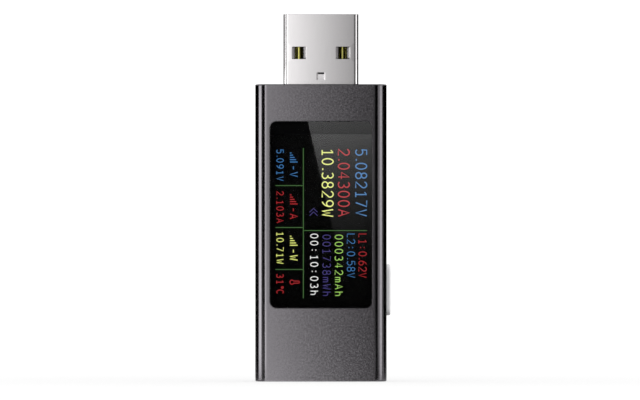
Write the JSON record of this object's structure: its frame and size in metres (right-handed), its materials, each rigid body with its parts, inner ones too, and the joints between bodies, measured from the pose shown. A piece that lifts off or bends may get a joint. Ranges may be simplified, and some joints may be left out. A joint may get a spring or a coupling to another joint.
{
  "type": "usb power meter",
  "caption": "Slim inline USB power meter with a metal sleeve, a plug at one end, a socket at the other, a colour display in the front and a push button in the side.",
  "frame": {"origin": "middle of the sleeve's foot, at the socket end, on the plane it stands on", "axes": "+Z along the sleeve from the socket to the plug, display facing -Y, button on the +X side"},
  "size_m": [0.0216, 0.012, 0.0587],
  "materials": {
    "anodised_metal": "dark grey bead-blasted anodised aluminium, satin",
    "plated_steel": "nickel-plated folded steel sheet, satin to bright",
    "gold_plate": "gold-plated contact strip, polished",
    "black_plastic": "black moulded plastic, fine texture",
    "insulator_plastic": "black glass-filled connector plastic",
    "pale_plastic": "pale grey moulded plastic, semi-gloss",
    "lens_acrylic": "clear acrylic sheet, polished",
    "display_glass": "black display glass, satin polariser",
    "backlight_plastic": "white moulded plastic",
    "foam": "black foam tape, matt",
    "flex_film": "amber polyimide film",
    "board_laminate": "glass-fibre laminate with green solder mask",
    "chip_resin": "black moulding resin, matt",
    "ferrite": "pressed dark grey ferrite",
    "capacitor_ceramic": "tan fired ceramic",
    "can_metal": "stamped bare steel sheet"
  },
  "bodies": {
    "meter": {"case_tube": "anodised_metal", "plug_end_cap": "black_plastic", "socket_end_cap": "black_plastic", "display_lens": "lens_acrylic", "lens_tape": "foam", "lcd_glass": "display_glass", "lcd_backlight": "backlight_plastic", "lcd_foam_tape": "foam", "lcd_flex": "flex_film", "main_board": "board_laminate", "controller_chip": "chip_resin", "meter_chip": "chip_resin", "voltage_regulator": "chip_resin", "shunt_resistor": "chip_resin", "power_inductor": "ferrite", "clock_crystal": "can_metal", "input_capacitor": "capacitor_ceramic", "output_capacitor": "capacitor_ceramic", "plug_shell": "plated_steel", "plug_insulator": "insulator_plastic", "plug_contact_power": "gold_plate", "plug_contact_data_minus": "gold_plate", "plug_contact_data_plus": "gold_plate", "plug_contact_ground": "gold_plate", "socket_shell": "plated_steel", "socket_insulator": "insulator_plastic", "socket_contact_power": "gold_plate", "socket_contact_data_minus": "gold_plate", "socket_contact_data_plus": "gold_plate", "socket_contact_ground": "gold_plate", "switch_body": "black_plastic", "switch_cover": "can_metal", "switch_dome": "can_metal"},
    "button": {"side_button": "pale_plastic"},
    "plunger": {"switch_plunger": "pale_plastic"}
  },
  "joints": [
    {"name": "button_press", "type": "slide", "parent": "meter", "child": "button", "axis": [-1, 0, 0], "range_m": [0, 0.0003], "stiffness_N_per_m": 5000},
    {"name": "plunger_press", "type": "slide", "parent": "meter", "child": "plunger", "axis": [-1, 0, 0], "range_m": [0, 0.0003], "deforming": ["switch_dome"]}
  ],
  "couplings": [
    {"joint": "plunger_press", "follows": "button_press", "ratio": 1}
  ]
}
